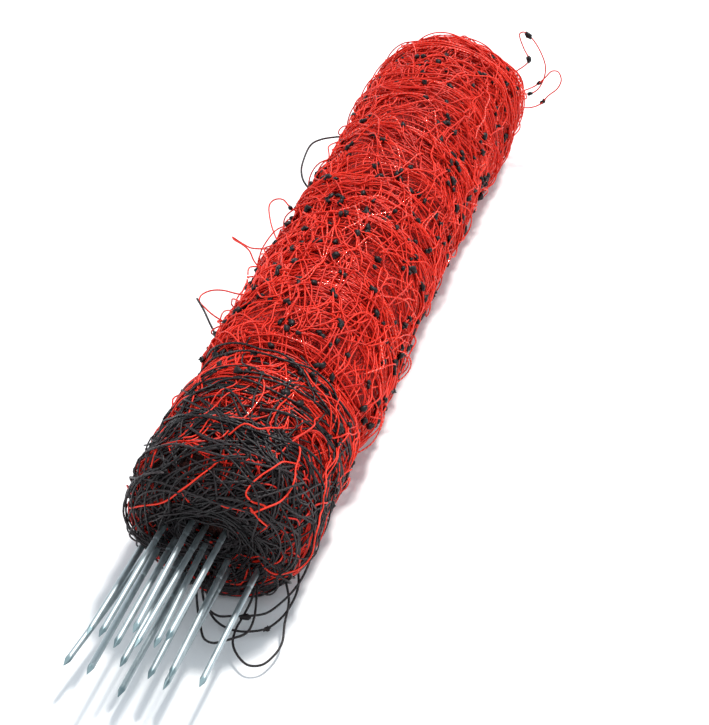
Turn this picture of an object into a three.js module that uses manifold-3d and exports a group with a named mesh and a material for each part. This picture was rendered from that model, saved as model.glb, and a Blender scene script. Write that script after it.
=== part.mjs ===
// Electric poultry netting, rolled up round its posts for storage and lying on its side.
//
// The net is a mesh of thin polywire, about a metre high and many metres long. Its plastic posts are
// gathered in one bundle, the net is wrapped round them, and the steel spikes stick out of the end where
// the net's black base line is. Millimetres, +Z up, +Y along the roll away from the spikes. The origin is
// on the floor under the middle of the roll.

import * as THREE from "three";
import { mergeVertices } from "three/addons/utils/BufferGeometryUtils.js";
import Module from "manifold-3d";

const wasm = await Module();
wasm.setup();

// The posts and their spikes.
const POST_DIAMETER = 14;
const POST_LENGTH = 980;
const POST_SPACING = 2.5; // netting left between two neighbouring posts
const SPIKE_DIAMETER = 6.5;
const SPIKE_REACH = 190; // how far a spike stands out of its post
const SPIKE_SOCKET = 30; // how far it is pushed into the post
const SPIKE_POINT = 12; // length of the sheared point
const CRIMP_PLACE = 0.26; // share of the spike's reach between the post and the crimp groove
const CRIMP_DEPTH = 0.55;
const CRIMP_WIDTH = 3;
const CLEARANCE = 0.3; // between any two pieces that touch

// The netting wound round them.
const ROLL_LENGTH = 1060; // the net's height
const WRAP_THICKNESS = 17.5; // netting outside the bundle's widest post
const SAG = 6; // how far the soft roll settles on the floor
const END_ROUNDING = 30;
const MOUTH_DEPTH = 16; // the dished end that the spikes come out of
const CROWN_DEPTH = 26; // the hollow in the other end
const BASE_BAND = 74; // length of roll covered by the black base line
const WAIST_DEPTH = 6; // the roll is drawn in where a wrap was pulled tight
const WAIST_WIDTH = 26;
const CREASE_WIDTH = 14;
const RIDGE_SPACING = 42; // from one bunched wrap to the next
const RIDGE_HEIGHT = 3;
const LUMP = 3.2; // height of the uneven wraps
const LINE_WIRE = 2; // diameter of the red polywire
const BASE_LINE = 2.5; // diameter of the black base line

const ROUND_SIDES = 10;
const ROLL_SIDES = 32;
const ROLL_RINGS = 76;
const CORD_SIDES = 8;

const PITCH = POST_DIAMETER + POST_SPACING;
const BUNDLE_REACH = 5 * PITCH; // from the roll's axis to the outside of the furthest post
const ROLL_RADIUS = BUNDLE_REACH + WRAP_THICKNESS;
const AXIS_HEIGHT = ROLL_RADIUS - SAG;
const MOUTH = -ROLL_LENGTH / 2; // where the roll starts, at the spikes
const CROWN = ROLL_LENGTH / 2;
const BAND_END = MOUTH + BASE_BAND;

const steel = new THREE.MeshStandardMaterial({ color: 0xc9d0d2, roughness: 0.32, metalness: 1 });
const postPlastic = new THREE.MeshStandardMaterial({ color: 0x1c1d1f, roughness: 0.55, metalness: 0 });
const redWire = new THREE.MeshStandardMaterial({ color: 0xd3301f, roughness: 0.5, metalness: 0 });
const blackTwine = new THREE.MeshStandardMaterial({ color: 0x1f1e22, roughness: 0.6, metalness: 0 });

// A closed geometry as a manifold-3d solid, and back again.
function toSolid(geometry) {
  const plain = geometry.clone();
  for (const name of Object.keys(plain.attributes)) {
    if (name !== "position") plain.deleteAttribute(name);
  }
  const merged = mergeVertices(plain, 1e-4);
  return new wasm.Manifold(
    new wasm.Mesh({
      numProp: 3,
      vertProperties: merged.attributes.position.array,
      triVerts: new Uint32Array(merged.index.array),
    }),
  );
}

function toGeometry(solid) {
  const mesh = solid.getMesh();
  const geometry = new THREE.BufferGeometry();
  geometry.setAttribute("position", new THREE.BufferAttribute(mesh.vertProperties, 3));
  geometry.setIndex(new THREE.BufferAttribute(mesh.triVerts, 1));
  const flat = geometry.toNonIndexed();
  flat.computeVertexNormals();
  return flat;
}

// Where wraps were pulled tight: share of the roll's length from its middle, how far that leans round the
// roll, and the angle in degrees that it leans towards. A crease also has its depth.
const WAISTS = [
  [-0.315, 0.008, 0],
  [0.01, 0.04, 0],
];
const CREASES = [
  [-0.313, 0.008, 0, 5],
  [0.006, -0.033, 80, 6],
  [0.14, -0.135, 60, 4],
];

// How far the roll's surface stands in or out of a plain cylinder: waists, slow waves along and round it,
// and the ridges and creases of the bunched wraps, which fade out towards the floor that they lie on.
function unevenness(along, angle) {
  const tight = ([at, lean, towards], depth, width) => {
    const place = at + lean * Math.cos(angle - THREE.MathUtils.degToRad(towards));
    return -depth * Math.exp(-(((along - place * ROLL_LENGTH) / width) ** 2));
  };
  const share = along / ROLL_LENGTH;
  const waves =
    0.5 * Math.sin(3 * angle + 15 * share) +
    0.3 * Math.sin(2 * angle - 9.6 * share + 1) +
    0.4 * Math.sin(5 * angle + 23.5 * share + 2);
  const ridge = Math.cos((2 * Math.PI * along) / RIDGE_SPACING + 1.5 * Math.sin(angle));
  const upper = (1 + Math.sin(angle)) / 2;
  let height = LUMP * waves + RIDGE_HEIGHT * ridge * upper;
  for (const waist of WAISTS) height += tight(waist, WAIST_DEPTH, WAIST_WIDTH);
  for (const crease of CREASES) height += tight(crease, crease[3], CREASE_WIDTH) * upper;
  return height;
}

// The outside of the netting from one place along the roll to another, grown by a margin. It is a lathe
// turned round the roll's axis, made uneven, and pressed flat where it lies on the floor.
function rollEnvelope(from, to, startDish, endDish, margin = 0) {
  const radius = ROLL_RADIUS + margin;
  const rounding = END_ROUNDING;
  const profile = [new THREE.Vector2(0, from + startDish - margin)];
  if (startDish) {
    profile.push(new THREE.Vector2(0.45 * radius, from + 0.8 * startDish - margin));
    for (const turn of [0, 25, 50, 75]) {
      const a = (turn * Math.PI) / 180;
      const away = new THREE.Vector2(
        radius - rounding * (1 - Math.sin(a)),
        from + rounding * (1 - Math.cos(a)) - margin * Math.cos(a),
      );
      profile.push(away);
    }
  } else {
    profile.push(new THREE.Vector2(radius, from));
  }
  const first = from + (startDish ? rounding : 0);
  const last = to - (endDish ? rounding : 0);
  const steps = Math.max(1, Math.round((ROLL_RINGS * (last - first)) / ROLL_LENGTH));
  for (let i = startDish ? 0 : 1; i <= steps - (endDish ? 0 : 1); i++) {
    profile.push(new THREE.Vector2(radius, first + ((last - first) * i) / steps));
  }
  if (endDish) {
    for (const turn of [75, 50, 25, 0]) {
      const a = (turn * Math.PI) / 180;
      profile.push(
        new THREE.Vector2(
          radius - rounding * (1 - Math.sin(a)),
          to - rounding * (1 - Math.cos(a)) + margin * Math.cos(a),
        ),
      );
    }
    profile.push(new THREE.Vector2(0.45 * radius, to - 0.8 * endDish + margin));
  } else {
    profile.push(new THREE.Vector2(radius, to));
  }
  profile.push(new THREE.Vector2(0, to - endDish + margin));
  const geometry = new THREE.LatheGeometry(profile, ROLL_SIDES);
  const place = geometry.attributes.position;
  for (let i = 0; i < place.count; i++) {
    const x = place.getX(i);
    const y = place.getY(i);
    const z = place.getZ(i);
    const out = Math.hypot(x, z);
    const angle = Math.atan2(z, x);
    const stretched = out < 1e-6 ? 1 : 1 + (unevenness(y, angle) * (out / radius)) / out;
    const height = AXIS_HEIGHT + z * stretched;
    place.setXYZ(i, x * stretched, y, Math.max(height, -margin));
  }
  return toSolid(geometry);
}

// A straight round piece turned along +Y from a list of [radius, place along it].
function turned(outline, sides = ROUND_SIDES) {
  return new THREE.LatheGeometry(
    outline.map(([radius, along]) => new THREE.Vector2(radius, along)),
    sides,
  );
}

// A post: a solid plastic rod with a socket in its foot, which is at y = 0, and a domed top.
function postGeometry() {
  const radius = POST_DIAMETER / 2;
  const socket = SPIKE_DIAMETER / 2 + CLEARANCE;
  return turned([
    [0, SPIKE_SOCKET + CLEARANCE],
    [socket, SPIKE_SOCKET + CLEARANCE],
    [socket, 0],
    [radius, 0],
    [radius, POST_LENGTH - radius / 2],
    [0.6 * radius, POST_LENGTH],
    [0, POST_LENGTH],
  ]);
}

// A spike: a round galvanised rod that starts in the post's socket and runs towards -Y, with a crimp
// groove near the post's foot and a point sheared to four faces. It is turned about itself, and what
// stands out of the post is bent to the left.
function spikeGeometry(turn, bend) {
  const radius = SPIKE_DIAMETER / 2;
  const crimp = -CRIMP_PLACE * SPIKE_REACH;
  const rod = toSolid(
    turned([
      [0, -SPIKE_REACH],
      [radius, -SPIKE_REACH],
      [radius, crimp - CRIMP_WIDTH / 2],
      [radius - CRIMP_DEPTH, crimp - CRIMP_WIDTH / 4],
      [radius - CRIMP_DEPTH, crimp + CRIMP_WIDTH / 4],
      [radius, crimp + CRIMP_WIDTH / 2],
      [radius, 0],
      [radius, SPIKE_SOCKET],
      [0, SPIKE_SOCKET],
    ]),
  );
  // The point is what a four-sided cone leaves of the rod. Its sides are cut steeper one way.
  const cone = new THREE.ConeGeometry(2 * radius, 2 * SPIKE_POINT, 4);
  cone.rotateX(Math.PI).translate(0, SPIKE_POINT - SPIKE_REACH, 0).scale(1, 1, 0.8);
  const shaft = new THREE.CylinderGeometry(2 * radius, 2 * radius, SPIKE_REACH + SPIKE_SOCKET, 8);
  shaft.translate(0, 2 * SPIKE_POINT - SPIKE_REACH - 0.1 + (SPIKE_REACH + SPIKE_SOCKET) / 2, 0);
  const spike = toGeometry(rod.intersect(toSolid(cone).add(toSolid(shaft))));
  spike.rotateY(turn);
  const place = spike.attributes.position;
  for (let i = 0; i < place.count; i++) {
    place.setX(i, place.getX(i) + Math.min(place.getY(i), 0) * Math.tan(bend));
  }
  spike.computeVertexNormals();
  return spike;
}

// Where each post lies in the bundle, in post pitches: right and up from the bundle's middle, and how far
// its foot is inside the roll's mouth. The last number is how many degrees its spike is bent to the left.
const BUNDLE_MIDDLE = new THREE.Vector2(-1.2 * PITCH, -1.7 * PITCH);
const POSTS = [
  [4, -0.79, 1.57, -0.2],
  [2, -0.5, 1.51, -1.1],
  [1.99, 1.79, 2.11, 0.2],
  [0.52, 0.47, 2.62, -2],
  [0.46, 1.38, 1.45, 1.2],
  [-0.04, 2.5, 1.52, -1.2],
  [-1.33, 0.56, 1.88, -0.2],
  [-1.84, 1.8, 1.33, 0.1],
  [-2.3, -0.03, 0.01, -0.5],
  [-3.42, -0.45, 3.25, 1.4],
  [-3.3, -1.35, 1.45, 5.6],
  [-1.07, -0.99, 1.96, -0.1],
  [0.72, -1.13, 1.65, -0.5],
  [-0.76, -2.08, 0.68, -0.2],
  [1.94, -1.57, 1.47, 0.7],
];
const BUNDLE_YAW = 0.8; // degrees that the bundle lies across the roll, tips to the left
const BUNDLE_DROOP = 1.4; // degrees that the tips hang down

// The line of post number i, as its foot and the rotation that turns +Y along it.
function postPose([right, up, inside]) {
  const heading = new THREE.Vector3(
    Math.sin(THREE.MathUtils.degToRad(BUNDLE_YAW)),
    1,
    Math.sin(THREE.MathUtils.degToRad(BUNDLE_DROOP)),
  ).normalize();
  const atMouth = new THREE.Vector3(
    BUNDLE_MIDDLE.x + right * PITCH,
    MOUTH,
    AXIS_HEIGHT + BUNDLE_MIDDLE.y + up * PITCH,
  );
  const foot = atMouth.addScaledVector(heading, inside * PITCH);
  return { foot, turn: new THREE.Quaternion().setFromUnitVectors(new THREE.Vector3(0, 1, 0), heading) };
}

// The hole that a post leaves in the netting: from in front of the mouth to just past the post's top.
function channel(pose) {
  const length = POST_LENGTH + SPIKE_REACH + CLEARANCE;
  const hole = new THREE.CylinderGeometry(
    POST_DIAMETER / 2 + CLEARANCE,
    POST_DIAMETER / 2 + CLEARANCE,
    length,
    ROUND_SIDES,
  );
  hole.translate(0, length / 2 - SPIKE_REACH, 0);
  hole.applyQuaternion(pose.turn);
  hole.translate(pose.foot.x, pose.foot.y, pose.foot.z);
  return toSolid(hole);
}

// Loose loops of the net that stand out of the roll. Each point is [distance in from the mouth in
// thousandths of the roll's length, angle round the roll in degrees from its right side, height above the
// wraps in hundredths of the roll's radius]. Ends are inside the netting.
const BASE_LINE_LOOPS = {
  base_loop_big: [
    [23.5, -40, -14], [0, -41, 6], [-23.5, -43.5, 15], [-47, -43, 21], [-66, -44, 19], [-79, -46.5, 14],
    [-83, -51, 6], [-75.5, -57, -2], [-61.5, -62.5, -9], [-42.5, -64.5, -11], [-24.5, -63, -12],
    [-7.5, -59, -17], [14, -54, -28],
  ],
  base_loop_wide: [
    [9.5, -102, -45], [-14, -97, -33], [-28.5, -88.5, -27], [-36, -77, -24], [-34, -66.5, -21],
    [-28.5, -57.5, -13], [-21, -49, -4], [-9.5, -42.5, 0], [5.5, -35.5, 3], [23.5, -29, 3], [42.5, -27, 0],
    [56.5, -28, -9],
  ],
  base_loop_floor: [
    [4.5, -96, -39], [-17, -91.5, -24], [-30, -84.5, -17], [-37.5, -75.5, -12], [-39.5, -66, -6],
    [-36, -58, 1], [-28.5, -52, 8], [-15, -47, 12], [0, -43, 12], [17, -38, 7], [33, -35.5, -4],
    [42.5, -35.5, -14],
  ],
  base_loop_left: [
    [9.5, -51, -31], [-14, -51, -20], [-36, -51, -12], [-53, -52.5, -11], [-64, -57, -17],
    [-69, -64.5, -20], [-68, -73, -18], [-59.5, -83, -15], [-43.5, -90, -18], [-24.5, -98, -26],
    [-4.5, -106, -35], [14, -111, -43],
  ],
  base_loop_crest: [
    [703, 152, -4], [694.5, 153, 5], [669, 152, 20], [643.5, 151, 27], [619, 153, 25], [600, 155, 20],
    [588.5, 157, 11], [581, 159, -4],
  ],
  base_line_end: [[238.5, 153, -5], [254, 153, 4], [267, 154, 15], [278.5, 153, 29], [286, 152, 42]],
};
const LINE_WIRE_LOOPS = {
  wire_loop_front: [
    [332, 150, -5], [326.5, 151, 6], [322.5, 153, 23], [317, 155, 34], [306.5, 156, 40], [292.5, 155, 38],
    [282, 153, 28], [276.5, 152, 15], [279, 153, 3], [285, 154, -5],
  ],
  wire_loop_middle: [
    [432, 152, -4], [426.5, 153, 5], [416, 154, 21], [415, 154, 32], [412.5, 153, 41], [406.5, 151, 46],
    [401, 150, 42], [399, 149, 32], [397, 149, 21], [391.5, 151, 10], [387.5, 153, -5],
  ],
  wire_loop_rear: [
    [451, 155, -4], [455.5, 154, 2], [474.5, 153, 18], [496, 151, 30], [504, 149, 28], [507.5, 147, 20],
    [504, 147, 8], [507.5, 148, -5],
  ],
  wire_loop_crown: [
    [981, 12, -14], [987, 20, 3], [990.5, 30, 2], [992.5, 38, 4], [990.5, 42, 9], [988.5, 41.5, 17],
    [987, 35, 22], [985, 24, 25], [983, 14, 26], [981, 4, 20], [979, -4, 10], [973.5, -10, -8],
  ],
  wire_loop_corner: [
    [953, 2, -6], [960.5, 6, 14], [963, 11, 28], [964, 15, 40], [962.5, 14.5, 49], [961.5, 10, 52],
    [960.5, 5, 46], [958.5, 0, 33], [956.5, -6, 24], [954.5, -10, 12], [953, -13, -6],
  ],
};

function loopPoint([inward, degrees, height], radius) {
  const angle = THREE.MathUtils.degToRad(degrees);
  const out = ROLL_RADIUS * (1 + height / 100);
  return new THREE.Vector3(
    out * Math.cos(angle),
    MOUTH + (inward / 1000) * ROLL_LENGTH,
    Math.max(AXIS_HEIGHT + out * Math.sin(angle), radius + CLEARANCE),
  );
}

// A loop's tube, less what is inside the netting, so that it meets the netting face to face.
function loopGeometry(points, diameter, netting) {
  const radius = diameter / 2;
  const path = new THREE.CatmullRomCurve3(points.map((point) => loopPoint(point, radius)));
  const section = new THREE.Shape().absarc(0, 0, radius, 0, 2 * Math.PI);
  const tube = new THREE.ExtrudeGeometry(section, {
    extrudePath: path,
    steps: Math.round(path.getLength() / (3 * diameter)),
    curveSegments: CORD_SIDES / 2,
  });
  return toGeometry(toSolid(tube).subtract(netting));
}

function namedMesh(name, geometry, material) {
  const mesh = new THREE.Mesh(geometry, material);
  mesh.name = name;
  return mesh;
}

const electricNetting = new THREE.Group();

// The wraps, in two lengths: the black base line by the mouth, and the red polywire net behind it.
const poses = POSTS.map(postPose);
const channels = poses.map(channel).reduce((all, one) => all.add(one));
const baseWraps = rollEnvelope(MOUTH, BAND_END, MOUTH_DEPTH, 0);
const netWraps = rollEnvelope(BAND_END + CLEARANCE, CROWN, 0, CROWN_DEPTH);
electricNetting.add(namedMesh("base_line_wraps", toGeometry(baseWraps.subtract(channels)), blackTwine));
electricNetting.add(namedMesh("net_wraps", toGeometry(netWraps.subtract(channels)), redWire));

// The posts, each with its spike in its foot.
POSTS.forEach((_, i) => {
  const number = String(i + 1).padStart(2, "0");
  const place = new THREE.Group();
  place.position.copy(poses[i].foot);
  place.quaternion.copy(poses[i].turn);
  place.add(namedMesh(`post_${number}`, postGeometry(), postPlastic));
  const turn = (i * 6 * Math.PI) / ROUND_SIDES; // three facets on from its neighbour's
  const bend = THREE.MathUtils.degToRad(POSTS[i][3]);
  place.add(namedMesh(`spike_${number}`, spikeGeometry(turn, bend), steel));
  electricNetting.add(place);
});

// The loose loops.
const netting = rollEnvelope(MOUTH, CROWN, MOUTH_DEPTH, CROWN_DEPTH, CLEARANCE);
for (const [name, points] of Object.entries(BASE_LINE_LOOPS)) {
  electricNetting.add(namedMesh(name, loopGeometry(points, BASE_LINE, netting), blackTwine));
}
for (const [name, points] of Object.entries(LINE_WIRE_LOOPS)) {
  electricNetting.add(namedMesh(name, loopGeometry(points, LINE_WIRE, netting), redWire));
}

export default electricNetting;
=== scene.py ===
# Electric poultry netting: a long net of red polywire with a black base line, gathered round its plastic
# posts and rolled up, lying on its side on a pale floor with the posts' steel spikes towards the viewer.
import math

import bpy
import numpy as np
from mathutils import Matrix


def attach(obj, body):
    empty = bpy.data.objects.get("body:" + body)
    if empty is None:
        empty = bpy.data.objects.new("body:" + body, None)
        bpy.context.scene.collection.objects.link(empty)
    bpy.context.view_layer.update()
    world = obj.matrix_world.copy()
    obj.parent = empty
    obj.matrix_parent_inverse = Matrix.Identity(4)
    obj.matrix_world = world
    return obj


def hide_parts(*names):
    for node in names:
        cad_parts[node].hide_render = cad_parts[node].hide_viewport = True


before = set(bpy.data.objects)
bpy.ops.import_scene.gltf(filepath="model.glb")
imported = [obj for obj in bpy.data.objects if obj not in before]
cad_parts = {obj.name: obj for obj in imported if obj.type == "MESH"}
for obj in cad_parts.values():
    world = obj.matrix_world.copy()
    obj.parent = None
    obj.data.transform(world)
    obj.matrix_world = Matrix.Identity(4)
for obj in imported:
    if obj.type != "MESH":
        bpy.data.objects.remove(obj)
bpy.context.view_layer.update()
scene = bpy.context.scene

# The view: a little right of the spikes' end and above it, looking down along the roll. The lens gives
# the photograph's own perspective.
FOCAL_PIXELS = 1900
FRAME_PIXELS = 725  # the picture's longer side
camera = bpy.data.cameras.new("view")
camera.sensor_width = 36
camera.lens = FOCAL_PIXELS / FRAME_PIXELS * camera.sensor_width
viewer = bpy.data.objects.new("view", camera)
viewer.location = (0.5505, -1.8826, 1.3548)
viewer.rotation_euler = (math.radians(90 - 35.8), 0, math.radians(16.5))
scene.collection.objects.link(viewer)
scene.camera = viewer


# The posts: extruded rods of black polypropylene, gathered in one bundle in the middle of the roll. Only
# their feet, where the spikes go in, can be seen between the strands. They stay as the CAD has them.
def linear(code):
    """sRGB hex to linear RGBA: c / 12.92 up to 0.04045, and ((c + 0.055) / 1.055) ^ 2.4 above it."""
    srgb = np.array([int(code[i : i + 2], 16) for i in (1, 3, 5)]) / 255
    return (*np.where(srgb > 0.04045, ((srgb + 0.055) / 1.055) ** 2.4, srgb / 12.92), 1.0)


def add_node(tree, kind, sockets=None, **settings):
    """Adds one shader node with its settings, and fills its inputs with values or links."""
    made = tree.nodes.new(kind)
    for name, value in settings.items():
        setattr(made, name, value)
    for name, value in (sockets or {}).items():
        if isinstance(value, bpy.types.NodeSocket):
            tree.links.new(value, made.inputs[name])
        else:
            made.inputs[name].default_value = value
    return made


def mixed(tree, share, low, high, **settings):
    """The colour that is low where the share is 0, high where it is 1, and a linear mix between."""
    sockets = {0: share, 6: low, 7: high}
    return add_node(tree, "ShaderNodeMix", sockets, data_type="RGBA", **settings).outputs[2]


def new_material(name):
    """An empty material of that name, with its node tree and its shader."""
    material = bpy.data.materials.new(name)
    material.use_nodes = True
    return material, material.node_tree, material.node_tree.nodes["Principled BSDF"]


# Extruded polypropylene is satin black, with faint draw lines along the rod about 0.8 mm apart.
post_plastic, tree, shader = new_material("extruded black polypropylene")
place = add_node(tree, "ShaderNodeTexCoord").outputs["Object"]
stretched = add_node(tree, "ShaderNodeMapping", {"Vector": place, "Scale": (1250, 20, 1250)}).outputs[0]
lines = add_node(tree, "ShaderNodeTexNoise", {"Vector": stretched, "Scale": 1.0, "Detail": 2.0}).outputs[0]
worn = add_node(tree, "ShaderNodeMapRange", {"Value": lines, "To Min": 0.42, "To Max": 0.62}).outputs[0]
ridges = add_node(tree, "ShaderNodeBump", {"Height": lines, "Strength": 0.3, "Distance": 0.0002}).outputs[0]
shader.inputs["Base Color"].default_value = linear("#1b1c1f")
shader.inputs["IOR"].default_value = 1.49
tree.links.new(worn, shader.inputs["Roughness"])
tree.links.new(ridges, shader.inputs["Normal"])
for number in range(1, 16):
    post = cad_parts[f"post_{number:02d}"]
    post.data.materials.clear()
    post.data.materials.append(post_plastic)

# The spikes: 6.5 mm steel rod, zinc plated after the crimp groove was rolled and the point sheared to four
# faces. Each is pressed into the foot of its post, and some have been bent a little in use.
MM = 0.001
PITCH = 16.5  # millimetres from one post to the next
MOUTH = -530.0  # where the roll starts
AXIS_HEIGHT = 94.0
SPIKE_RADIUS = 3.25
SPIKE_REACH = 190.0
SPIKE_SOCKET = 30.0
SPIKE_SIDES = 28
POINT = 12.0
CRIMP = 0.74 * SPIKE_REACH  # from the tip to the crimp groove
CRIMP_DEPTH = 0.55
# Right and up from the bundle's middle, in from the mouth, in pitches, and degrees bent to the left.
POSTS = np.array([
    [4, -0.79, 1.57, -0.2], [2, -0.5, 1.51, -1.1], [1.99, 1.79, 2.11, 0.2], [0.52, 0.47, 2.62, -2],
    [0.46, 1.38, 1.45, 1.2], [-0.04, 2.5, 1.52, -1.2], [-1.33, 0.56, 1.88, -0.2],
    [-1.84, 1.8, 1.33, 0.1], [-2.3, -0.03, 0.01, -0.5], [-3.42, -0.45, 3.25, 1.4],
    [-3.3, -1.35, 1.45, 5.6], [-1.07, -0.99, 1.96, -0.1], [0.72, -1.13, 1.65, -0.5],
    [-0.76, -2.08, 0.68, -0.2], [1.94, -1.57, 1.47, 0.7],
])
BUNDLE = (-1.2, -1.7)  # the bundle's middle, in pitches right of and above the roll's axis
YAW = 0.8  # degrees that the posts turn to the right
RISE = 1.4  # degrees that they climb towards the far end
heading = np.array([math.sin(math.radians(YAW)), 1, math.sin(math.radians(RISE))])
heading /= np.linalg.norm(heading)


def smooth_mesh(name, places, faces, material):
    """A mesh from (n, 3) places in millimetres and a list of face arrays, each (m, corners)."""
    mesh = bpy.data.meshes.new(name)
    corners = np.concatenate([f.ravel() for f in faces]).astype(np.int32)
    lengths = np.concatenate([np.full(len(f), f.shape[1]) for f in faces])
    mesh.vertices.add(len(places))
    mesh.vertices.foreach_set("co", (places * MM).astype(np.float32).ravel())
    mesh.loops.add(len(corners))
    mesh.polygons.add(len(lengths))
    mesh.polygons.foreach_set("loop_start", (np.cumsum(lengths) - lengths).astype(np.int32))
    mesh.polygons.foreach_set("vertices", corners)
    mesh.update(calc_edges=True)
    mesh.shade_smooth()
    mesh.materials.append(material)
    piece = bpy.data.objects.new(name, mesh)
    scene.collection.objects.link(piece)
    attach(piece, "root")
    return piece


def tube_faces(tubes, rings, sides):
    """Quads between the rings of each tube, and a cap on both its ends, all facing out."""
    first = (np.arange(tubes)[:, None, None] * rings + np.arange(rings - 1)[:, None]) * sides
    side = np.arange(sides)
    turn = (side + 1) % sides
    quads = np.stack([first + side, first + turn, first + sides + turn, first + sides + side], -1)
    start = np.arange(tubes)[:, None] * rings * sides
    caps = np.concatenate([start + side[::-1], start + (rings - 1) * sides + side])
    return [quads.reshape(-1, 4), caps]


# Bright zinc plating: a cool light grey metal, soft in its shine, with long polishing lines and duller
# patches.
zinc, tree, shader = new_material("bright zinc plated steel")
place = add_node(tree, "ShaderNodeTexCoord").outputs["Object"]
drawn = add_node(tree, "ShaderNodeMapping", {"Vector": place, "Scale": (900, 30, 900)}).outputs[0]
lines = add_node(tree, "ShaderNodeTexNoise", {"Vector": drawn, "Scale": 1.0, "Detail": 3.0}).outputs[0]
cloud = add_node(tree, "ShaderNodeTexNoise", {"Vector": place, "Scale": 90.0, "Detail": 4.0}).outputs[0]
shade = mixed(tree, cloud, linear("#9aa7ab"), linear("#c9d2d4"))
# The point is drawn darker than the rest of the spike, wherever plated is below one.
whole = add_node(tree, "ShaderNodeAttribute", attribute_name="plated").outputs["Fac"]
shade = mixed(tree, whole, linear("#7d9094"), shade)
dull = add_node(tree, "ShaderNodeMapRange", {"Value": cloud, "To Min": 0.42, "To Max": 0.6}).outputs[0]
grain = add_node(tree, "ShaderNodeBump", {"Height": lines, "Strength": 0.25, "Distance": 0.0002}).outputs[0]
tree.links.new(shade, shader.inputs["Base Color"])
tree.links.new(dull, shader.inputs["Roughness"])
tree.links.new(grain, shader.inputs["Normal"])
shader.inputs["Metallic"].default_value = 1.0

# Distance from the tip to each ring, and how deep the crimp groove is there.
from_tip = np.concatenate([[0.15], np.linspace(1.5, POINT + 3, 11), [60, 120]])
from_tip = np.concatenate([from_tip, CRIMP + np.array([-5, -2.6, -1.8, -1, 1, 1.8, 2.6, 5])])
from_tip = np.concatenate([from_tip, [165, SPIKE_REACH, SPIKE_REACH + SPIKE_SOCKET]])
crimp = CRIMP_DEPTH * np.exp(-(((from_tip - CRIMP) / 1.5) ** 4))
around = np.linspace(0, 2 * np.pi, SPIKE_SIDES, endpoint=False)
sideways = np.cross([0, 0, 1], heading)
sideways /= -np.linalg.norm(sideways)
upward = np.cross(sideways, heading)
for number, (right, up, inside, bend) in enumerate(POSTS):
    # The rod's radius is the least of its own and of four planes that meet near the tip, two steeper.
    turned = around + number * 0.6 * np.pi
    across = np.maximum(np.abs(np.cos(turned)), np.abs(np.sin(turned)) / 0.8)
    planes = (0.25 + 1.05 * SPIKE_RADIUS * from_tip / POINT)[:, None] / across
    radius = np.minimum(SPIKE_RADIUS - crimp[:, None], planes)
    foot = np.array([(right + BUNDLE[0]) * PITCH, MOUTH, AXIS_HEIGHT + (up + BUNDLE[1]) * PITCH])
    foot = foot + heading * inside * PITCH
    beyond = from_tip - SPIKE_REACH
    bent = np.minimum(beyond, 0) * math.tan(math.radians(bend))
    middle = foot + heading * beyond[:, None] + sideways * bent[:, None]
    ring = np.cos(around)[:, None] * sideways - np.sin(around)[:, None] * upward
    places = middle[:, None] + radius[..., None] * ring
    rings = len(from_tip)
    faces = tube_faces(1, rings, SPIKE_SIDES)
    spike = smooth_mesh(f"zinc_spike_{number + 1:02d}", places.reshape(-1, 3), faces, zinc)
    # The quads of the point, which come first, keep their sheared edges.
    point_rings = np.count_nonzero(from_tip <= POINT)
    sheared = np.arange(len(spike.data.polygons)) < SPIKE_SIDES * (point_rings - 1)
    spike.data.polygons.foreach_set("use_smooth", ~sheared)
    # plated holds where the spike's lighter colour is drawn, which starts within 5 mm of the point's own end.
    plated = np.repeat(np.clip((from_tip - 0.8 * POINT) / 5, 0, 1), SPIKE_SIDES)
    data = spike.data.attributes.new("plated", "FLOAT", "POINT").data
    data.foreach_set("value", plated.astype(np.float32))
    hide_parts(f"spike_{number + 1:02d}")

# The heart of the roll: wraps so deep that only a dark red layer of crossing strands shows between the outer
# ones. It is one sheet whose dark colour is painted shade, standing for the shade deep among the wraps. The
# same shape carries every strand that follows, so its formula is the roll's own.
ROLL_RADIUS = 100.0
LENGTH = 1060.0
RIM = 30.0  # rounding of the mouth's rim
TAPER = (36.0, 112.0)  # rounding of the far end, inwards and along the roll
SHORT = 8.0  # how much sooner than the posts' room the far end's wraps stop
# An outline point holds the distance from the axis and the distance in from the mouth, which is dished.
arc = np.radians(np.arange(0, 91, 6))
mouth_line = np.array([[0, 16], [25, 15.2], [45, 12.8]])
rim_line = np.stack([ROLL_RADIUS - RIM + RIM * np.sin(arc), RIM - RIM * np.cos(arc)], -1)
far_out = ROLL_RADIUS - TAPER[0] + TAPER[0] * np.sin(arc)
far_along = LENGTH - SHORT - TAPER[1] + TAPER[1] * np.cos(arc)
far_rim = np.stack([far_out, far_along], -1)[::-1]
far_line = np.array([[45, LENGTH - 24], [25, LENGTH - 29], [0, LENGTH - 30]])
outline = np.concatenate([mouth_line, rim_line, far_rim, far_line])
lengths = np.hypot(*np.diff(outline, axis=0).T)
travelled = np.concatenate([[0], np.cumsum(lengths)])
REACH = travelled[-1]  # from the middle of the mouth, out, along the roll and in to the other end's middle
fine = np.arange(0, REACH, 2.0)
soft = np.hanning(13) / np.hanning(13).sum()
edge = np.pad(
    np.stack([np.interp(fine, travelled, outline[:, k]) for k in (0, 1)]), ((0, 0), (6, 6)), "edge"
)
profile = np.stack([np.convolve(row, soft, "valid") for row in edge])
slope = np.gradient(profile, 2.0, axis=1)
slope /= np.hypot(*slope)

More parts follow.
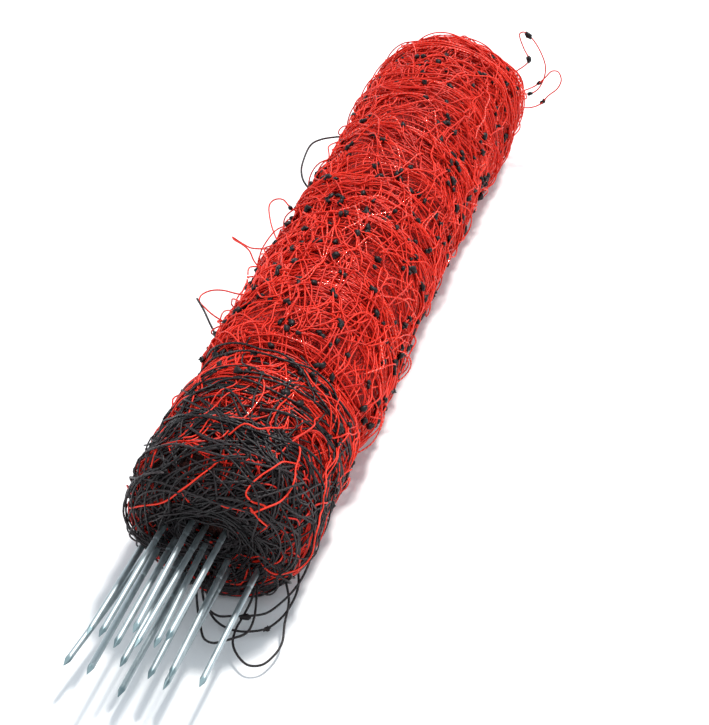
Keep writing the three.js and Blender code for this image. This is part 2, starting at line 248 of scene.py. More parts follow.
# Where wraps were pulled tight: share of the roll's length from its middle, how far that leans round the
# roll, the angle in degrees that it leans towards, and the depth.
WAIST_WIDTH = 26.0
WAISTS = ((-0.315, 0.008, 0, 6), (0.01, 0.04, 0, 6))
CREASE_WIDTH = 14.0
CREASES = ((-0.313, 0.008, 0, 5), (0.006, -0.033, 80, 6), (0.14, -0.135, 60, 4))
WAVES = 3.2  # depth of the slow waves round and along the roll
RIDGE_HEIGHT = 3.0
RIDGE_SPACING = 42.0
OVERHANG = 24.0  # how far the last wraps stand out over the upper side of the mouth
OVERHANG_REACH = 60.0  # how far out of the mouth's middle all of it counts, and over how far it ends
OVERHANG_RISE = 50.0  # height above the mouth's middle where it is at its full size
SINKS_FROM = 330.0  # where the far end starts to sink under its own weight
SINKS_OVER = 190.0
SUNK = 0.155  # share of its height that it loses
FLOOR = 1.5  # lowest that a strand's middle lies
SETTLED = 8.0  # height below which the wraps are pressed together on the floor


def on_roll(reach, angle, height):
    """Places and outward directions on the roll: the outline turned round the axis, raised by a height
    and by the overhang, scaled by waves, ridges, waists and creases, sunk and pressed flat."""
    radius, along = (np.interp(reach, fine, profile[k]) for k in (0, 1))
    run_out, run_along = (np.interp(reach, fine, slope[k]) for k in (0, 1))
    # The last wraps have slid out over the mouth, most of all on its upper side.
    face = 1 - np.clip((reach - OVERHANG_REACH) / OVERHANG_REACH, 0, 1)
    rise = 1 + np.clip(radius / OVERHANG_RISE * np.sin(angle), -1, 1)
    height = height + OVERHANG / 2 * rise * face * face * (3 - 2 * face)
    radius = radius + height * run_along
    along = MOUTH + along - height * run_out
    share = along / LENGTH
    waves = 0.5 * np.sin(3 * angle + 15 * share) + 0.3 * np.sin(2 * angle - 9.6 * share + 1)
    waves += 0.4 * np.sin(5 * angle + 23.5 * share + 2)
    upper = (1 + np.sin(angle)) / 2
    ridges = np.cos(2 * np.pi * along / RIDGE_SPACING + 1.5 * np.sin(angle))
    uneven = WAVES * waves + RIDGE_HEIGHT * ridges * upper
    for tight, width, pressed in ((WAISTS, WAIST_WIDTH, 1), (CREASES, CREASE_WIDTH, upper)):
        for at, lean, towards, depth in tight:
            middle = (at + lean * np.cos(angle - math.radians(towards))) * LENGTH
            uneven = uneven - depth * pressed * np.exp(-(((along - middle) / width) ** 2))
    radius = radius * (1 + uneven / ROLL_RADIUS)
    up = AXIS_HEIGHT + radius * np.sin(angle)
    up = up * (1 - SUNK * np.clip((along - SINKS_FROM) / SINKS_OVER, 0, 1) ** 1.5)
    low = np.minimum(up, SETTLED) - SETTLED
    up = np.where(low < 0, FLOOR + (SETTLED - FLOOR) * np.exp(low / (SETTLED - FLOOR)), up)
    out = np.stack([run_along * np.cos(angle), -run_out, run_along * np.sin(angle)], -1)
    return np.stack([radius * np.cos(angle), along, up], -1), out


# Deep polyethylene strands: each gap shows red threads 2 mm wide, crossing both ways, and near the mouth the
# black ones. Their colour is painted shade: near black between the threads and dark red on them, for the
# shade deep in the roll. They are drawn 3 and 4 mm apart so that they show between the real strands.
shaded_ground, tree, shader = new_material("deep red twine with painted shade")
place = add_node(tree, "ShaderNodeTexCoord").outputs["Object"]
bent = add_node(tree, "ShaderNodeTexNoise", {"Vector": place, "Scale": 22.0, "Detail": 2.0}).outputs[1]
shift = add_node(
    tree, "ShaderNodeVectorMath", {0: bent, 1: (0.02, 0.02, 0.02)}, operation="MULTIPLY"
).outputs[0]
moved = add_node(tree, "ShaderNodeVectorMath", {0: place, 1: shift}, operation="ADD").outputs[0]
hoops = add_node(
    tree, "ShaderNodeTexWave", {"Vector": moved, "Scale": 105.0, "Distortion": 3.0}, bands_direction="Y"
).outputs[1]
runs = add_node(
    tree, "ShaderNodeTexWave", {"Vector": moved, "Scale": 80.0, "Distortion": 4.0}, bands_direction="X"
).outputs[1]
thread_relief_and_shade = add_node(tree, "ShaderNodeMath", {0: hoops, 1: runs}, operation="MAXIMUM").outputs[0]
# Painted shade: the gaps between the threads near black, the threads themselves dark red.
red_shaded_ground = mixed(tree, thread_relief_and_shade, linear("#3c0503"), linear("#c01d10"))
black_shaded_ground = mixed(tree, thread_relief_and_shade, linear("#0a0504"), linear("#36150f"))
far_in = add_node(tree, "ShaderNodeSeparateXYZ", {0: moved}).outputs[1]
past = add_node(
    tree, "ShaderNodeMapRange", {"Value": far_in, "From Min": -0.485, "From Max": -0.385}
).outputs[0]
both = mixed(tree, past, black_shaded_ground, red_shaded_ground)
relief = add_node(tree, "ShaderNodeBump", {"Height": thread_relief_and_shade, "Strength": 0.8, "Distance": 0.002}).outputs[0]
tree.links.new(both, shader.inputs["Base Color"])
tree.links.new(relief, shader.inputs["Normal"])
shader.inputs["Roughness"].default_value = 0.6
shader.inputs["Specular IOR Level"].default_value = 0.25

HEART_DEPTH = -12.0
HEART_RINGS = 220
HEART_SIDES = 96
reach, angle = np.meshgrid(
    np.linspace(1, REACH - 1, HEART_RINGS),
    np.linspace(0, 2 * np.pi, HEART_SIDES, endpoint=False),
    indexing="ij",
)
depth = HEART_DEPTH + 2 * np.sin(9 * angle + reach / 17) * np.sin(reach / 23)
heart_places, _ = on_roll(reach, angle, depth)
heart_faces = tube_faces(1, HEART_RINGS, HEART_SIDES)
heart = smooth_mesh("net_heart", heart_places.reshape(-1, 3), heart_faces, shaded_ground)
# The outline starts at the mouth's middle, so its rings run the other way from a tube's.
heart.data.flip_normals()
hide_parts("net_wraps", "base_line_wraps")

# The line wires and their cross strands: red polyethylene twine about 2 mm thick, twisted with fine
# stainless wires that carry the current. They are wound round the posts in loose, uneven wraps.
rng = np.random.default_rng(41)
WIRE_RADIUS = 0.95


def wander(strands, points, size, cycles):
    """A slow random curve for each strand: three sine waves with their own phase, frequency and size."""
    t = np.linspace(0, 1, points)
    turns = cycles * rng.uniform(0.25, 1, (3, strands, 1)) * np.array([0.4, 0.7, 1])[:, None, None]
    phase = rng.uniform(0, 2 * np.pi, (3, strands, 1))
    sizes = rng.normal(0, 1, (3, strands, 1)) * np.array([1, 0.6, 0.35])[:, None, None]
    return size * (np.sin(2 * np.pi * turns * t + phase) * sizes).sum(0)


NEAR_TURN = 14.0  # least reach of a strand before its bend
FAR_TURN = REACH - 20.0
BEND = 5.0


def turned_back(along):
    """A strand that would run off an end of the roll turns back there in a soft bend, a hyperbola."""
    along = NEAR_TURN + np.hypot(along - NEAR_TURN, BEND)
    return FAR_TURN - np.hypot(FAR_TURN - along, BEND)


def wound(bands, each, points, step, start, direction, sway, curl, height, spacing):
    """Strands laid on the roll in bands. A strand's direction, 0 along the roll and 90 round it, is the
    band's own plus a slow sway and a steady curl, and its place is the running sum of equal steps in that
    direction. The strands of a band lie side by side, each with a little sway of its own."""
    strands = bands * each
    low, high = start
    begin = np.repeat(rng.uniform(low, high, bands), each)
    angle0 = np.repeat(rng.uniform(0, 2 * np.pi, bands), each)
    main = np.repeat(rng.normal(direction[0], direction[1], bands), each)
    shared = np.repeat(wander(bands, points, sway, step * points / 160), each, 0)
    own = wander(strands, points, 0.35 * sway, step * points / 90)
    turn = np.repeat(rng.normal(0, curl, bands), each)[:, None] * np.linspace(-0.5, 0.5, points)
    way = np.radians(main[:, None] + shared + own + turn)
    offset = (np.tile(np.arange(each), bands) - (each - 1) / 2) * spacing
    offset = offset + rng.normal(0, 0.4 * spacing, strands)
    along = np.cumsum(step * np.cos(way), 1)
    along = along - along[:, points // 2, None] + (begin - np.sin(np.radians(main)) * offset)[:, None]
    along = turned_back(along)
    radius = np.maximum(np.interp(along, fine, profile[0]), 20)
    round_it = np.cumsum(step * np.sin(way) / radius, 1)
    round_it = round_it - round_it[:, points // 2, None] + angle0[:, None]
    round_it = round_it + (np.cos(np.radians(main)) * offset)[:, None] / radius
    raised = rng.uniform(height[0], height[1], strands)[:, None] + wander(strands, points, height[2], 5)
    return along, round_it, raised


def tied(strands, points, start, length, lean, bow, height, proud):
    """Slack strands tied in at both ends: each runs straight from one knot to the next, plus a bow to one
    side and a rise off the roll, both following a half sine wave."""
    t = np.linspace(0, 1, points)
    half = np.sin(np.pi * t)
    way = np.radians(rng.normal(lean[0], lean[1], strands))[:, None]
    run = rng.uniform(length[0], length[1], strands)[:, None] * (t - 0.5)
    aside = rng.normal(0, bow, strands)[:, None] * half + wander(strands, points, 2, 2)
    along = turned_back(rng.uniform(*start, strands)[:, None] + run * np.cos(way) - aside * np.sin(way))
    radius = np.maximum(np.interp(along, fine, profile[0]), 20)
    round_it = rng.uniform(0, 2 * np.pi, strands)[:, None]
    round_it = round_it + (run * np.sin(way) + aside * np.cos(way)) / radius
    raised = rng.uniform(*height, strands)[:, None] + rng.uniform(*proud, strands)[:, None] * half
    return along, round_it, raised


def lay_strands(name, groups, sides, material):
    """A tube along each strand. A ring's point is the path's plus the radius times cos a outwards from the
    roll and sin a across the strand. lay holds the distance along it and cos a, sin a; tone its shade."""
    places, faces, lay, tones, start = [], [[], []], [], [], 0
    a = np.linspace(0, 2 * np.pi, sides, endpoint=False)
    for path, out, thick, tone in groups:
        strands, points, _ = path.shape
        ahead = np.gradient(path, axis=1)
        run = np.linalg.norm(ahead, axis=2, keepdims=True)
        ahead = ahead / np.maximum(run, 1e-6)
        across = np.cross(ahead, out)
        across /= np.maximum(np.linalg.norm(across, axis=2, keepdims=True), 1e-6)
        proud = np.cross(across, ahead)
        ring = np.cos(a)[:, None] * proud[:, :, None] + np.sin(a)[:, None] * across[:, :, None]
        places.append((path[:, :, None] + thick * ring).reshape(-1, 3))
        for kind, some in zip(faces, tube_faces(strands, points, sides)):
            kind.append(some + start)
        start += strands * points * sides
        far = np.cumsum(run[..., 0], 1)[..., None] + np.zeros(sides)
        lay.append(np.stack([far, np.cos(a) + 0 * far, np.sin(a) + 0 * far], -1).reshape(-1, 3))
        tones.append(np.repeat(tone, points * sides))
    made = smooth_mesh(name, np.concatenate(places), [np.concatenate(kind) for kind in faces], material)
    data = made.data.attributes.new("lay", "FLOAT_VECTOR", "POINT").data
    data.foreach_set("vector", np.concatenate(lay).astype(np.float32).ravel())
    data = made.data.attributes.new("tone", "FLOAT", "POINT").data
    data.foreach_set("value", np.concatenate(tones).astype(np.float32))
    return made


def strand_group(laid, thick, low=0.0, high=1.0):
    """Laid strands with their places, outward directions, thickness and a random tone each between low and
    high; the darker ranges given to deeper strands are painted shade.
    """
    path, out = on_roll(*laid)
    return path, out, thick, rng.uniform(low, high, len(path))


def strand_nodes(tree, lay_length):
    """A strand's tone, and its twist: the sine of the angle round it plus 2 pi times the distance along
    it over the lay's length, from the sines and cosines of both."""
    lay = add_node(tree, "ShaderNodeAttribute", attribute_name="lay").outputs["Vector"]
    tone = add_node(tree, "ShaderNodeAttribute", attribute_name="tone").outputs["Fac"]
    far, cosine, sine = add_node(tree, "ShaderNodeSeparateXYZ", {0: lay}).outputs
    around = {0: far, 1: 2 * math.pi / lay_length}
    turns = add_node(tree, "ShaderNodeMath", around, operation="MULTIPLY").outputs[0]
    turns_sine = add_node(tree, "ShaderNodeMath", {0: turns}, operation="SINE").outputs[0]
    turns_cosine = add_node(tree, "ShaderNodeMath", {0: turns}, operation="COSINE").outputs[0]
    first = add_node(tree, "ShaderNodeMath", {0: turns_sine, 1: cosine}, operation="MULTIPLY").outputs[0]
    whole = {0: turns_cosine, 1: sine, 2: first}
    return tone, add_node(tree, "ShaderNodeMath", whole, operation="MULTIPLY_ADD").outputs[0]


# Twisted polyethylene: satin, bright orange red, each strand its own shade. The twist is drawn with a 5 mm
# lay, its grooves darkened a little as painted shade, and one strand in five or six shows its stainless wires
# as bright dashes.
polywire, tree, shader = new_material("twisted red polyethylene twine")
tone, twist = strand_nodes(tree, 5.0)
wires = add_node(
    tree, "ShaderNodeMapRange", {"Value": twist, "From Min": 0.78, "From Max": 0.92}
).outputs[0]
chosen = add_node(tree, "ShaderNodeMath", {0: tone, 1: 0.84}, operation="GREATER_THAN").outputs[0]
metal = add_node(tree, "ShaderNodeMath", {0: wires, 1: chosen}, operation="MULTIPLY").outputs[0]
plain = mixed(tree, tone, linear("#c8190b"), linear("#f6371e"))
# Painted shade in the twist's grooves: the colour is multiplied down to 0.88 there.
groove_shade = add_node(tree, "ShaderNodeMapRange", {"Value": twist, "From Min": -1.0, "To Min": 0.88}).outputs[0]
strand = mixed(tree, 1.0, plain, groove_shade, blend_type="MULTIPLY")
colour = mixed(tree, metal, strand, linear("#f0e6dc"))
relief = add_node(tree, "ShaderNodeBump", {"Height": twist, "Strength": 0.2, "Distance": 0.0005}).outputs[0]
gloss = add_node(tree, "ShaderNodeMapRange", {"Value": metal, "To Min": 0.45, "To Max": 0.2}).outputs[0]
tree.links.new(colour, shader.inputs["Base Color"])
tree.links.new(metal, shader.inputs["Metallic"])
tree.links.new(gloss, shader.inputs["Roughness"])
tree.links.new(relief, shader.inputs["Normal"])
shader.inputs["IOR"].default_value = 1.51
shader.inputs["Specular IOR Level"].default_value = 0.28

RED = (112, REACH - 40)  # reach over which the red part of the net lies, from the mouth's rim on
UNDER = (60, 175)  # where it shows between the strands of the base line
BRIGHT = (175, REACH - 50)  # where nothing black covers it
# The deep strands get darker tone ranges than the outer ones: painted shade for their depth.
deep = [
    strand_group(wound(44, 7, 30, 12, RED, (90, 8), 6, 20, (-11, -7, 0.8), 7), WIRE_RADIUS, 0, 0.7),
    strand_group(wound(56, 5, 20, 12, RED, (0, 35), 14, 50, (-10, -6.5, 0.8), 9), WIRE_RADIUS, 0, 0.7),
    strand_group(wound(34, 4, 18, 10, UNDER, (60, 50), 14, 50, (-6, -2, 0.8), 9), WIRE_RADIUS, 0, 0.75),
]
middle = [
    strand_group(wound(40, 6, 40, 10, BRIGHT, (90, 9), 7, 20, (-7, -3.5, 1.0), 7), WIRE_RADIUS),
    strand_group(wound(60, 4, 20, 10, BRIGHT, (5, 30), 14, 60, (-6, -3, 1.0), 13), WIRE_RADIUS),
    strand_group(tied(260, 14, BRIGHT, (60, 110), (0, 50), 14, (-6, -3), (0, 3)), WIRE_RADIUS),
]
outer = [
    strand_group(wound(26, 5, 44, 8, BRIGHT, (90, 8), 7, 15, (-3, -0.5, 0.8), 8), WIRE_RADIUS, 0.2, 1),
    strand_group(wound(44, 4, 20, 8, BRIGHT, (5, 25), 16, 60, (-3, 0, 1.0), 15), WIRE_RADIUS, 0.2, 1),
    strand_group(wound(150, 1, 18, 7, BRIGHT, (60, 60), 30, 150, (-2, 1, 1.5), 5), WIRE_RADIUS, 0.2, 1),
]
knotted = tied(460, 14, BRIGHT, (50, 105), (10, 45), 16, (-3, -0.5), (0, 4))
outer.append(strand_group(knotted, WIRE_RADIUS, 0.2, 1))
for name, groups, sides in (
    ("line_wires_deep", deep, 3),
    ("line_wires", middle, 4),
    ("outer_wires", outer, 4),
):
    made = lay_strands(name, groups, sides, polywire)

# Loose strands: the last wraps, which nothing holds down. They stand off the roll in low arches, more of
# them at the far end, where the net was gathered up last.
END = (REACH - 300, REACH - 60)
END_HOOPS = (REACH - 300, REACH - 90)
loose = [
    strand_group(tied(210, 16, BRIGHT, (40, 90), (20, 60), 18, (-4, -1), (4, 13)), WIRE_RADIUS, 0.2, 1),
    strand_group(tied(130, 16, END, (60, 130), (70, 40), 14, (-4, 0), (4, 12)), WIRE_RADIUS, 0.2, 1),
    strand_group(wound(14, 4, 40, 8, END_HOOPS, (90, 12), 8, 20, (0, 7, 1.5), 9), WIRE_RADIUS),
]
made = lay_strands("loose_wires", loose, 5, polywire)

# The base line: thicker black polyethylene twine without wires, along the net's lower edge. Its wraps
# cover the mouth's rim and hang across the mouth, round the spikes.
BASE_RADIUS = 1.3
# Twisted polyethylene again, black, satin and coarser in its twist, each strand its own shade.
base_twine, tree, shader = new_material("twisted black polyethylene twine")
tone, twist = strand_nodes(tree, 6.0)
black = mixed(tree, tone, linear("#0b0809"), linear("#2a2123"))
relief = add_node(tree, "ShaderNodeBump", {"Height": twist, "Strength": 0.4, "Distance": 0.0006}).outputs[0]
tree.links.new(black, shader.inputs["Base Color"])
tree.links.new(relief, shader.inputs["Normal"])
shader.inputs["Roughness"].default_value = 0.45
shader.inputs["IOR"].default_value = 1.51
shader.inputs["Specular IOR Level"].default_value = 0.35

# The last turns spring forward out of the mouth over the spikes' feet, on its upper side only.
LIP_MIDDLE = 98  # degrees round the mouth
LIP_REACH = 82  # degrees to either side
lip = wound(36, 3, 22, 8, (20, 90), (90, 22), 10, 40, (-2, 7, 2.0), 6)
upper_side = np.cos(lip[1].mean(1) - math.radians(LIP_MIDDLE)) > math.cos(math.radians(LIP_REACH))
lip = [part[upper_side] for part in lip]
base_line = [
    strand_group(lip, 1.05),
    strand_group(wound(22, 4, 34, 9, (60, 168), (90, 8), 6, 20, (-7, -1, 0.8), 6), BASE_RADIUS),
    strand_group(wound(22, 3, 22, 9, (45, 190), (60, 50), 14, 60, (-5, 1, 1.0), 8), BASE_RADIUS),
    strand_group(tied(150, 12, (40, 200), (40, 90), (45, 60), 14, (-4, 0), (0, 5)), 0.9),
    strand_group(wound(24, 3, 18, 7, (18, 95), (90, 30), 20, 90, (-6, 1, 1.5), 6), BASE_RADIUS),
    strand_group(wound(30, 3, 14, 6, (16, 70), (90, 50), 20, 80, (-8, -1, 1.5), 6), BASE_RADIUS),
    strand_group(wound(10, 3, 40, 9, (170, 275), (90, 7), 6, 15, (-4, 0, 0.8), 6), BASE_RADIUS),
    strand_group(tied(60, 12, (150, 290), (40, 90), (60, 60), 14, (-4, 0), (0, 4)), 0.9),
]


def smooth_path(points, count):
    """Centripetal Catmull-Rom: three linear mixes between four neighbouring points, then two between
    those, then one, with knots spaced by the square root of the distance between the points."""
    points = np.array(points, float)
    p = np.concatenate([[2 * points[0] - points[1]], points, [2 * points[-1] - points[-2]]])
    t = np.concatenate([[0], np.cumsum(np.sqrt(np.linalg.norm(np.diff(p, axis=0), axis=1)))])
    u = np.linspace(t[1], t[-2], count)
    i = np.clip(np.searchsorted(t, u, "right") - 1, 1, len(points) - 1)

    def mix(a, b, low, high):
        share = ((u - t[low]) / (t[high] - t[low]))[:, None]
        return (1 - share) * a + share * b

    left = mix(p[i - 1], p[i], i - 1, i)
    centre = mix(p[i], p[i + 1], i, i + 1)
    right = mix(p[i + 1], p[i + 2], i + 1, i + 2)
    return mix(mix(left, centre, i - 1, i + 1), mix(centre, right, i, i + 2), i, i + 1)


MM_PER_DEGREE = 1.7  # distance round the roll


def hand_laid(route, thick, tone):
    """One strand along a route of points on the roll: reach, angle in degrees, height. It is smoothed
    with the angle as a distance along the roll's surface."""
    spread = smooth_path(np.array(route, float) * (1, MM_PER_DEGREE, 1), 8 * len(route))
    path, out = on_roll(spread[:, 0], np.radians(spread[:, 1] / MM_PER_DEGREE), spread[:, 2])
    return path[None], out[None], thick, np.array([tone])


# Single strands that the eye picks out: black hoops over the red net, and red strands over the black.
BLACK_ROUTES = (
    (
        (262, 166, -3), (288, 142, 2), (285, 122, 3), (272, 104, 3), (266, 87, 3), (268, 71, 3),
        (282, 55, 2), (270, 38, 1), (240, 22, -3),
    ),
    (
        (200, 140, -3), (194, 118, 2), (212, 110, 3), (218, 98, 3), (216, 82, 3), (216, 68, 2),
        (222, 50, -2),
    ),
    (
        (190, 160, -3), (182, 145, 2), (150, 113, 3), (144, 94, 3), (142, 75, 3), (146, 58, 3),
        (166, 39, 2), (180, 20, -2),
    ),
    (
        (130, 158, -2), (109, 132, 3), (106, 113, 4), (101, 93, 4), (100, 72, 4), (107, 54, 4),
        (125, 37, 3), (140, 15, 0),
    ),
    ((120, 168, -2), (96, 146, 3), (82, 123, 4), (75, 99, 5), (72, 73, 5), (76, 50, 4), (82, 26, 2)),
    (
        (312, 150, -3), (304, 132, 2), (296, 110, 3), (280, 88, 3), (262, 62, 2), (240, 44, 1),
        (225, 20, -3),
    ),
)
RED_ROUTES = (
    ((89, 170, 0), (81, 160, 5), (73, 130, 6), (76, 108, 6), (82, 94, 5), (97, 83, 0)),
    ((132, 86, 0), (144, 79, 5), (144, 71, 5), (152, 66, 5), (174, 59, 2)),
    (
        (140, 42, 0), (126, 50, 4), (106, 55, 6), (98, 58, 6), (90, 60, 6), (83, 60, 6), (81, 54, 5),
        (84, 44, 1),
    ),
    (
        (77, 50, 3), (78, 48, 6), (85, 44, 6), (95, 40, 6), (103, 40, 6), (112, 42, 6), (137, 44, 5),
        (160, 48, 1),
    ),
    ((78, 52, 4), (78, 46, 6), (78, 39, 6), (78, 32, 3)),
    (
        (190, 24, 1), (148, 15, 4), (142, 8, 5), (114, 6, 6), (107, -11, 6), (100, -16, 6),
        (88, -18, 6), (77, -25, 4), (61, -29, -2),
    ),
    ((71, 83, 2), (72, 78, 4), (71, 67, 4), (73, 60, 4), (76, 50, 4)),
)
BLACK_TONES = (0.3, 0.6, 0.2, 0.8, 0.5, 0.4)
base_line += [hand_laid(route, BASE_RADIUS, tone) for route, tone in zip(BLACK_ROUTES, BLACK_TONES)]
crossing = [hand_laid(route, WIRE_RADIUS, 0.8) for route in RED_ROUTES]
# These slack strands lie a little under the surface and get darker tones: painted shade.
crossing.append(
    strand_group(tied(60, 12, (30, 190), (15, 50), (45, 60), 10, (-3.5, -0.5), (0, 3)), WIRE_RADIUS, 0, 0.7)
)
made = lay_strands("base_line", base_line, 5, base_twine)
made = lay_strands("crossing_wires", crossing, 6, polywire)

# The loose loops: lengths of the base line and of the red wire that spring out of the roll. Their routes
# are the CAD's, but wire_loop_crown starts and ends lower, on the sunk end of the roll. A point holds
# thousandths of the length in from the mouth, angle in degrees, and height in hundredths of the radius.
BASE_LINE_LOOPS = {
    "base_loop_big": (
        (23.5, -40, -14), (0, -41, 6), (-23.5, -43.5, 15), (-47, -43, 21), (-66, -44, 19), (-79, -46.5, 14),
        (-83, -51, 6), (-75.5, -57, -2), (-61.5, -62.5, -9), (-42.5, -64.5, -11), (-24.5, -63, -12),
        (-7.5, -59, -17), (14, -54, -28),
    ),
    "base_loop_wide": (
        (9.5, -102, -45), (-14, -97, -33), (-28.5, -88.5, -27), (-36, -77, -24), (-34, -66.5, -21),
        (-28.5, -57.5, -13), (-21, -49, -4), (-9.5, -42.5, 0), (5.5, -35.5, 3), (23.5, -29, 3),
        (42.5, -27, 0), (56.5, -28, -9),
    ),
    "base_loop_floor": (
        (4.5, -96, -39), (-17, -91.5, -24), (-30, -84.5, -17), (-37.5, -75.5, -12), (-39.5, -66, -6),
        (-36, -58, 1), (-28.5, -52, 8), (-15, -47, 12), (0, -43, 12), (17, -38, 7), (33, -35.5, -4),
        (42.5, -35.5, -14),
    ),
    "base_loop_left": (
        (9.5, -51, -31), (-14, -51, -20), (-36, -51, -12), (-53, -52.5, -11), (-64, -57, -17),
        (-69, -64.5, -20), (-68, -73, -18), (-59.5, -83, -15), (-43.5, -90, -18), (-24.5, -98, -26),
        (-4.5, -106, -35), (14, -111, -43),
    ),
    "base_loop_crest": (
        (703, 152, -4), (694.5, 153, 5), (669, 152, 20), (643.5, 151, 27), (619, 153, 25), (600, 155, 20),
        (588.5, 157, 11), (581, 159, -4),
    ),
    "base_line_end": ((238.5, 153, -5), (254, 153, 4), (267, 154, 15), (278.5, 153, 29), (286, 152, 42)),
}
LINE_WIRE_LOOPS = {
    "wire_loop_front": (
        (332, 150, -5), (326.5, 151, 6), (322.5, 153, 23), (317, 155, 34), (306.5, 156, 40), (292.5, 155, 38),
        (282, 153, 28), (276.5, 152, 15), (279, 153, 3), (285, 154, -5),
    ),
    "wire_loop_middle": (
        (432, 152, -4), (426.5, 153, 5), (416, 154, 21), (415, 154, 32), (412.5, 153, 41), (406.5, 151, 46),
        (401, 150, 42), (399, 149, 32), (397, 149, 21), (391.5, 151, 10), (387.5, 153, -5),
    ),
    "wire_loop_rear": (
        (451, 155, -4), (455.5, 154, 2), (474.5, 153, 18), (496, 151, 30), (504, 149, 28), (507.5, 147, 20),
        (504, 147, 8), (507.5, 148, -5),
    ),
    "wire_loop_crown": (
        (981, 12, -20), (987, 20, 3), (990.5, 30, 2), (992.5, 38, 4), (990.5, 42, 9), (988.5, 41.5, 17),
        (987, 35, 22), (985, 24, 25), (983, 14, 26), (981, 4, 20), (979, -4, 10), (973.5, -10, -16),
    ),
    "wire_loop_corner": (
        (953, 2, -6), (960.5, 6, 14), (963, 11, 28), (964, 15, 40), (962.5, 14.5, 49), (961.5, 10, 52),
        (960.5, 5, 46), (958.5, 0, 33), (956.5, -6, 24), (954.5, -10, 12), (953, -13, -6),
    ),
}


def loop_group(route, thick, tone):
    """A loop in the open: its own points, smoothed, with the tube's rings turned to the loop's plane."""
    inward, degrees, height = np.array(route, float).T
    a, out = np.radians(degrees), ROLL_RADIUS * (1 + height / 100)
    up = np.maximum(AXIS_HEIGHT + out * np.sin(a), thick + 0.3)
    places = np.stack([out * np.cos(a), MOUTH + inward / 1000 * LENGTH, up], -1)
    path = smooth_path(places, 7 * len(route))
    facing = np.linalg.svd(path - path.mean(0))[2][2]
    return path[None], np.broadcast_to(facing, path[None].shape), thick, np.array([tone])


KNOTS_ON_LOOPS = {
    "wire_loop_front": (0.97,),
    "wire_loop_rear": (0.9,),
    "wire_loop_crown": (0.13, 0.47, 0.93),
    "wire_loop_corner": (0.16, 0.78),
    "base_loop_wide": (0.45,),
    "base_loop_floor": (0.55,),
}
knots = []
for loops, thick, material, slot in (
    (BASE_LINE_LOOPS, BASE_RADIUS, base_twine, "base_line"),
    (LINE_WIRE_LOOPS, WIRE_RADIUS, polywire, "polywire"),
):
    for name, route in loops.items():
        group = loop_group(route, thick, 0.5)
        made = lay_strands(name.replace("loop", "bow"), [group], 8, material)
        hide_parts(name)
        for share in KNOTS_ON_LOOPS.get(name, ()):
            at = int(share * (group[0].shape[1] - 2))
            ahead = group[0][0, at + 1] - group[0][0, at]
            knots.append((group[0][0, at], ahead / np.linalg.norm(ahead), group[1][0, at]))

# The knots: where a cross strand meets a line wire, a bead of black polyethylene is moulded round both.
# It is longer than wide, lumpy, and often two lie together where wraps were gathered.
knot_plastic, tree, shader = new_material("moulded black polyethylene")
place = add_node(tree, "ShaderNodeTexCoord").outputs["Object"]
cloud = add_node(tree, "ShaderNodeTexNoise", {"Vector": place, "Scale": 300.0, "Detail": 2.0}).outputs[0]
black = mixed(tree, cloud, linear("#070405"), linear("#1d1213"))
lumps = add_node(tree, "ShaderNodeBump", {"Height": cloud, "Strength": 0.6, "Distance": 0.001}).outputs[0]
tree.links.new(black, shader.inputs["Base Color"])
tree.links.new(lumps, shader.inputs["Normal"])
shader.inputs["Roughness"].default_value = 0.45
shader.inputs["IOR"].default_value = 1.51
shader.inputs["Specular IOR Level"].default_value = 0.25

KNOT_SIDES = 7
KNOT_RINGS = 5
KNOT_SIZE = (4.2, 2.7, 2.9)  # half the length along the strand, height off the roll and width
KNOT_LOW = 0.5  # lowest that a knot reaches
KNOT_MIDDLE_LOW = 5.5  # lowest that its middle lies
SHOWN = 0.75  # share of the tied ends whose knot shows
DOUBLED = 0.35  # share of those that have a second knot beside the first
path, out = on_roll(*knotted)
ends = np.concatenate([path[:, 0], path[:, -1]])
ways = np.concatenate([path[:, 0] - path[:, 1], path[:, -1] - path[:, -2]])
outs = np.concatenate([out[:, 0], out[:, -1]])
seen = rng.random(len(ends)) < SHOWN
ends, ways, outs = ends[seen], ways[seen], outs[seen]
ways /= np.linalg.norm(ways, axis=1, keepdims=True)
beside = rng.random(len(ends)) < DOUBLED
shifted = ends[beside] - ways[beside] * rng.uniform(3, 7, (beside.sum(), 1))
at = np.concatenate([ends, shifted, [knot[0] for knot in knots]])
ahead = np.concatenate([ways, outs[beside] + 1.5 * ways[beside], [knot[1] for knot in knots]])
ahead /= np.linalg.norm(ahead, axis=1, keepdims=True)
outwards = np.concatenate([outs, outs[beside], [knot[2] for knot in knots]])
at = at + 1.2 * outwards
at[:, 2] = np.maximum(at[:, 2], KNOT_MIDDLE_LOW)
across = np.cross(ahead, outwards)
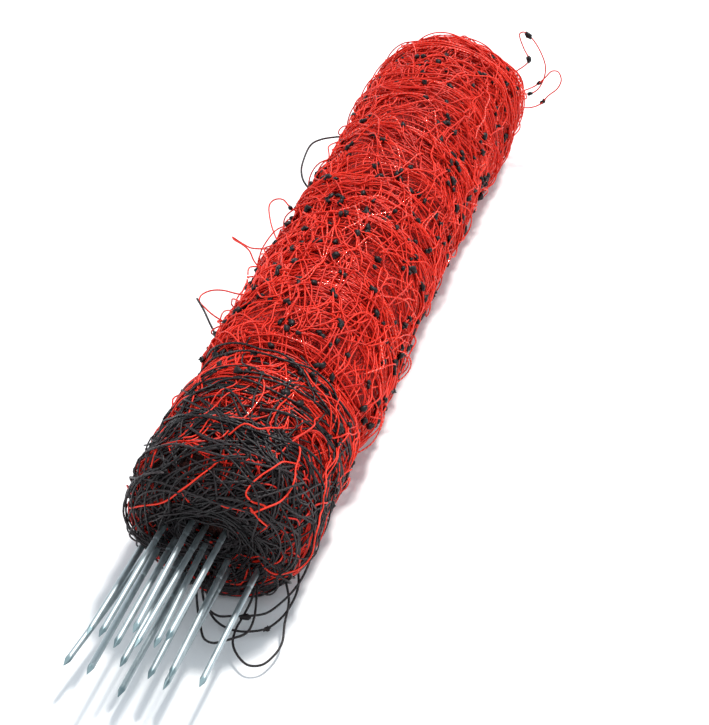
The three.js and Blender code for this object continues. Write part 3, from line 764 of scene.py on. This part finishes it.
across /= np.linalg.norm(across, axis=1, keepdims=True)
proud = np.cross(across, ahead)
size = rng.uniform(0.8, 1.35, (len(at), 1, 1))
t = np.linspace(0, np.pi, KNOT_RINGS + 2)[1:-1]
a = np.linspace(0, 2 * np.pi, KNOT_SIDES, endpoint=False)
lumpy = size * (1 + rng.normal(0, 0.2, (len(at), KNOT_RINGS, KNOT_SIDES)))
long_way = (KNOT_SIZE[0] * np.cos(t)[:, None] + 0 * a) * lumpy
tall = (KNOT_SIZE[1] * np.sin(t)[:, None] * np.cos(a)) * lumpy
wide = (KNOT_SIZE[2] * np.sin(t)[:, None] * np.sin(a)) * lumpy
places = at[:, None, None] - long_way[..., None] * ahead[:, None, None]
places = places + tall[..., None] * proud[:, None, None] + wide[..., None] * across[:, None, None]
places[..., 2] = np.maximum(places[..., 2], KNOT_LOW)
made = smooth_mesh(
    "knots", places.reshape(-1, 3), tube_faces(len(at), KNOT_RINGS, KNOT_SIDES), knot_plastic
)

# The floor and the light: a white floor in bright sun from behind the roll and to its right, with a pale
# sky that leaves the shadows blue grey.
bpy.ops.mesh.primitive_plane_add(size=12, location=(0, 0, 0))
floor = bpy.context.object
floor.name = "floor"
white, tree, shader = new_material("white board")
shader.inputs["Base Color"].default_value = (0.9, 0.9, 0.9, 1)
shader.inputs["Roughness"].default_value = 0.9
floor.data.materials.append(white)

sun = bpy.data.lights.new("sun", "SUN")
sun.energy = 3.2
sun.angle = math.radians(7)
sun.color = (1.0, 0.985, 0.96)
sunlight = bpy.data.objects.new("sun", sun)
falls = np.array([-7.0, -17.3, -35.0])
across, ahead, down = falls / np.linalg.norm(falls)
sunlight.rotation_euler = (math.acos(-down), 0, math.atan2(across, -ahead) + math.pi)
scene.collection.objects.link(sunlight)

world = bpy.data.worlds.new("pale sky")
world.use_nodes = True
sky = world.node_tree.nodes["Background"]
sky.inputs["Color"].default_value = (0.86, 0.93, 1.0, 1)
sky.inputs["Strength"].default_value = 0.95
scene.world = world
scene.view_settings.view_transform = "Standard"
